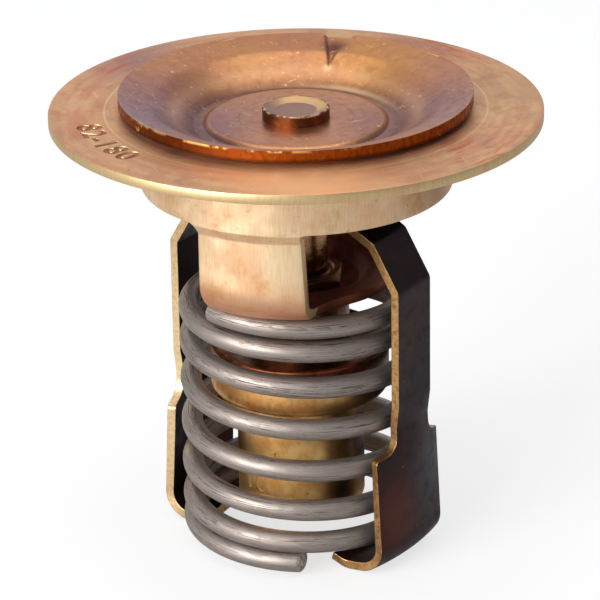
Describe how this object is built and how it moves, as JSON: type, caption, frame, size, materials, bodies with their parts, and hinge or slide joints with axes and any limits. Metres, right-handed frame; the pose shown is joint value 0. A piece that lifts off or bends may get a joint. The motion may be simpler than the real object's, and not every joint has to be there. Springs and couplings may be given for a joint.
{
  "type": "engine thermostat",
  "caption": "Engine coolant thermostat: a wax capsule lifts a dished valve disc off its flange through a stirrup that squeezes the return spring.",
  "frame": {"origin": "centre of the flange's underside, on the thermostat's axis", "axes": "+Z along the axis, from the wax capsule towards the valve disc; the front leg of the bridge is near -Y"},
  "size_m": [0.054, 0.054, 0.0528],
  "materials": {
    "frame_brass": "brushed, warm, lightly stained",
    "disc_bronze": "satin brown patina",
    "stirrup_brass": "dark oxidised faces, bright cut edges",
    "turned_brass": "turned, aged",
    "capsule_brass": "drawn, aged",
    "spring_wire": "drawn wire, grey-beige",
    "piston_steel": "ground",
    "seal_rubber": "moulded",
    "chafe_disc": "plain",
    "wax": "copper-loaded wax"
  },
  "bodies": {
    "housing": {"flange_frame": "frame_brass", "retaining_nut": "turned_brass", "capsule_guide": "turned_brass", "capsule_cup": "capsule_brass", "wax_charge": "wax", "diaphragm": "seal_rubber", "rubber_plug": "seal_rubber", "anti_chafe_disc": "chafe_disc", "main_spring": "spring_wire"},
    "valve": {"valve_disc": "disc_bronze", "piston_socket": "turned_brass", "spacer_sleeve": "turned_brass", "stirrup": "stirrup_brass"},
    "piston": {"piston": "piston_steel"}
  },
  "joints": [
    {"name": "valve_lift", "type": "slide", "parent": "housing", "child": "valve", "axis": [0, 0, 1], "range_m": [0, 0.008], "stiffness_N_per_m": 4000, "springref_m": -0.006, "deforming": ["main_spring"]},
    {"name": "piston_stroke", "type": "slide", "parent": "housing", "child": "piston", "axis": [0, 0, 1], "range_m": [0, 0.008]}
  ],
  "couplings": [
    {"joint": "piston_stroke", "follows": "valve_lift", "ratio": 1}
  ]
}
